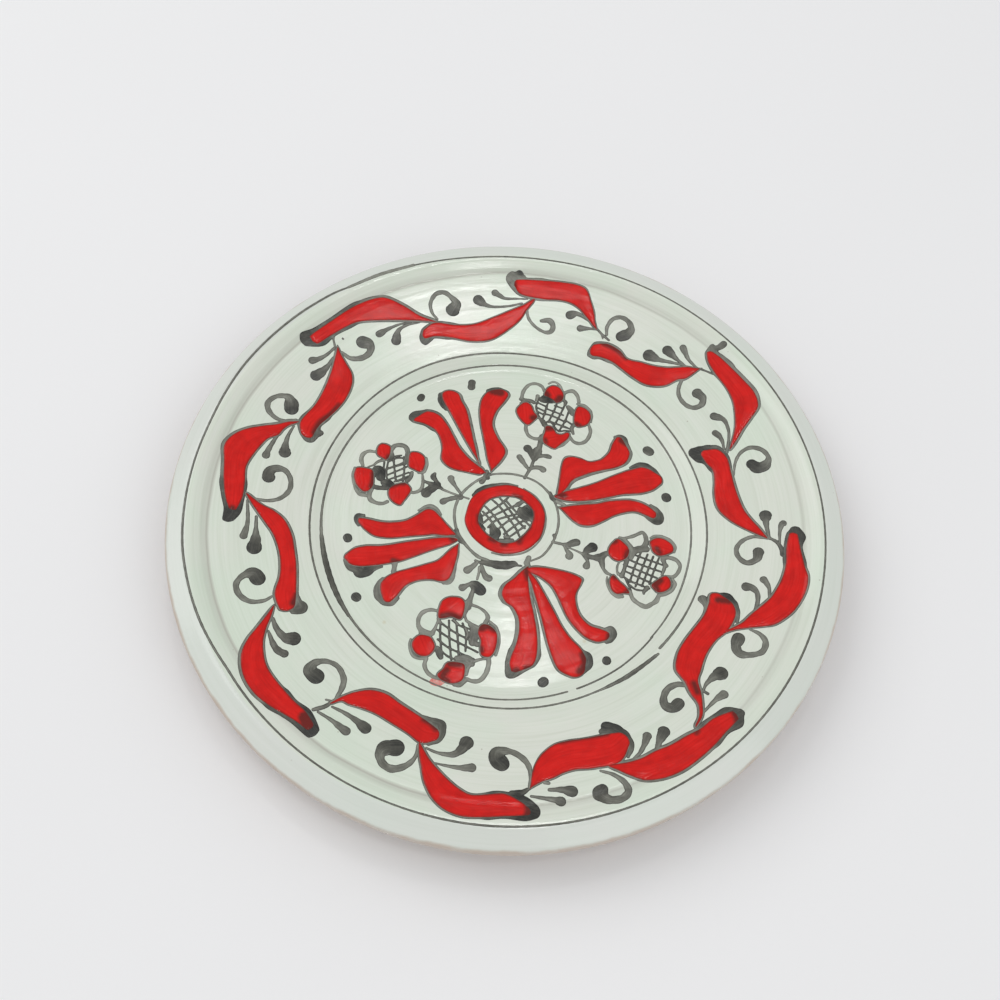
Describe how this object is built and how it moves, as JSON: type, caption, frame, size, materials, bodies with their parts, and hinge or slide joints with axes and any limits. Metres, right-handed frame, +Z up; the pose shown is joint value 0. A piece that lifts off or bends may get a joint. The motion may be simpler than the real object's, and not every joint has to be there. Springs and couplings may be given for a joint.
{
  "type": "decorative plate",
  "caption": "Round hand painted ceramic plate with a sunken well, broad border, rounded lip and turned foot ring, decorated with red leaves, tulips, flowers and grey scrolls.",
  "frame": {"origin": "centre of the foot ring's resting face, on the table", "axes": "+Z up along the turning axis; +Y towards the top of the painted pattern, +X to its right"},
  "size_m": [0.23, 0.23, 0.0218],
  "materials": {
    "fired_clay": "matte",
    "white_ground": "gloss",
    "red_paint": "gloss",
    "dark_paint": "gloss"
  },
  "bodies": {
    "root": {"clay_body": "fired_clay", "white_ground": "white_ground", "border_leaf_01": "red_paint", "border_leaf_02": "red_paint", "border_leaf_03": "red_paint", "border_leaf_04": "red_paint", "border_leaf_05": "red_paint", "border_leaf_06": "red_paint", "border_leaf_07": "red_paint", "border_leaf_08": "red_paint", "border_leaf_09": "red_paint", "border_leaf_10": "red_paint", "border_leaf_11": "red_paint", "border_leaf_12": "red_paint", "border_leaf_13": "red_paint", "border_leaf_14": "red_paint", "border_leaf_15": "red_paint", "border_leaf_16": "red_paint", "leaf_outlines": "dark_paint", "border_sprig_01": "dark_paint", "border_sprig_02": "dark_paint", "border_sprig_03": "dark_paint", "border_sprig_04": "dark_paint", "border_sprig_05": "dark_paint", "border_sprig_06": "dark_paint", "border_sprig_07": "dark_paint", "border_sprig_08": "dark_paint", "border_sprig_09": "dark_paint", "border_sprig_10": "dark_paint", "border_sprig_11": "dark_paint", "border_sprig_12": "dark_paint", "border_sprig_13": "dark_paint", "border_sprig_14": "dark_paint", "border_sprig_15": "dark_paint", "border_sprig_16": "dark_paint", "tulip_petals_1": "red_paint", "tulip_petals_2": "red_paint", "tulip_petals_3": "red_paint", "tulip_petals_4": "red_paint", "tulip_outlines": "dark_paint", "tulip_dots": "dark_paint", "flower_petals_1": "red_paint", "flower_linework_1": "dark_paint", "flower_petals_2": "red_paint", "flower_linework_2": "dark_paint", "flower_petals_3": "red_paint", "flower_linework_3": "dark_paint", "flower_petals_4": "red_paint", "flower_linework_4": "dark_paint", "medallion_ring": "red_paint", "medallion_lattice": "dark_paint", "centre_circle": "dark_paint", "well_inner_line": "dark_paint", "well_outer_line": "dark_paint", "lip_line": "dark_paint"}
  },
  "joints": []
}
